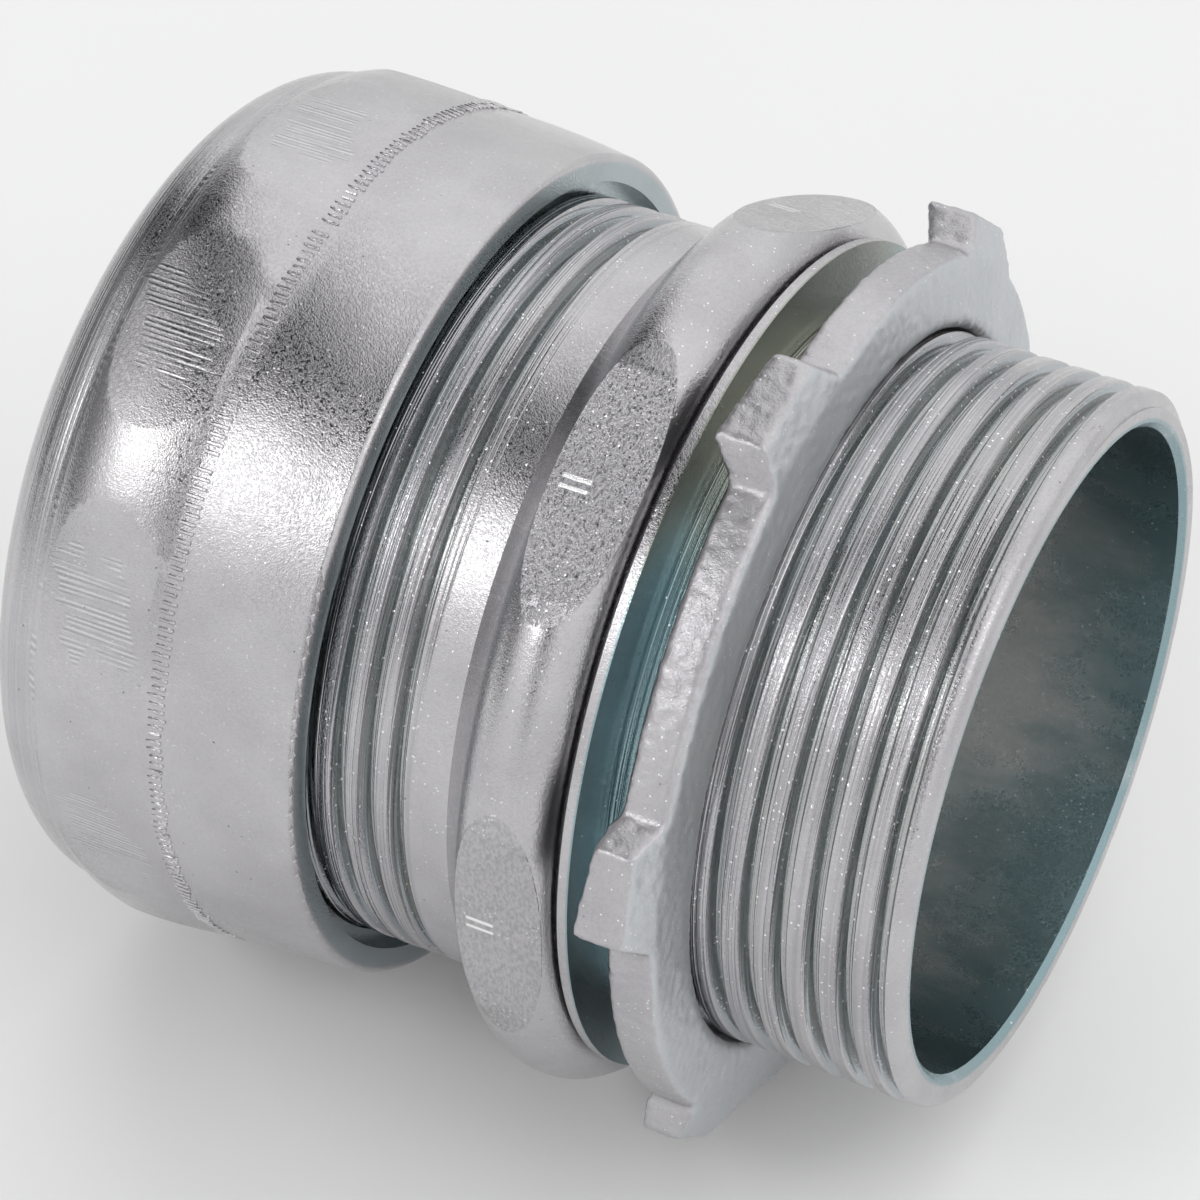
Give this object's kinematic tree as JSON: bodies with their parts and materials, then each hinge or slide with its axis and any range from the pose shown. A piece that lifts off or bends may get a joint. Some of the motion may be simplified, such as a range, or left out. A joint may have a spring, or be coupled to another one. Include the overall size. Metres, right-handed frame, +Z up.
{
  "type": "conduit compression connector",
  "caption": "Steel compression connector that clamps thin-wall conduit in a gland nut with a split ring and fastens to a box with a lugged locknut.",
  "frame": {"origin": "on the axis, in the plane of the shoulder face that stops against the box wall", "axes": "+X along the axis towards the nose that enters the box, +Z up"},
  "size_m": [0.063, 0.063, 0.062],
  "materials": {
    "body_zinc": "bright zinc plating, satin",
    "nut_zinc": "bright zinc plating, satin",
    "ring_zinc": "zinc plated spring steel",
    "locknut_zinc": "rough pressed steel, zinc plated"
  },
  "bodies": {
    "connector": {"connector_body": "body_zinc"},
    "ring": {"compression_ring": "ring_zinc"},
    "nut": {"gland_nut": "nut_zinc"},
    "lock": {"locknut": "locknut_zinc"}
  },
  "joints": [
    {"name": "ring_travel", "type": "slide", "parent": "connector", "child": "ring", "axis": [1, 0, 0], "range_m": [-0.0106, 0.00213]},
    {"name": "gland_nut_turn", "type": "hinge", "parent": "ring", "child": "nut", "pos_m": [-0.03, 0, 0], "axis": [1, 0, 0], "range_deg": [-1800, 360]},
    {"name": "locknut_turn", "type": "hinge", "parent": "connector", "child": "lock", "pos_m": [0.004, 0, 0], "axis": [1, 0, 0], "range_deg": [-225, 2700]}
  ],
  "couplings": [
    {"joint": "ring_travel", "follows": "gland_nut_turn", "m_per_rad": 0.00033693}
  ]
}
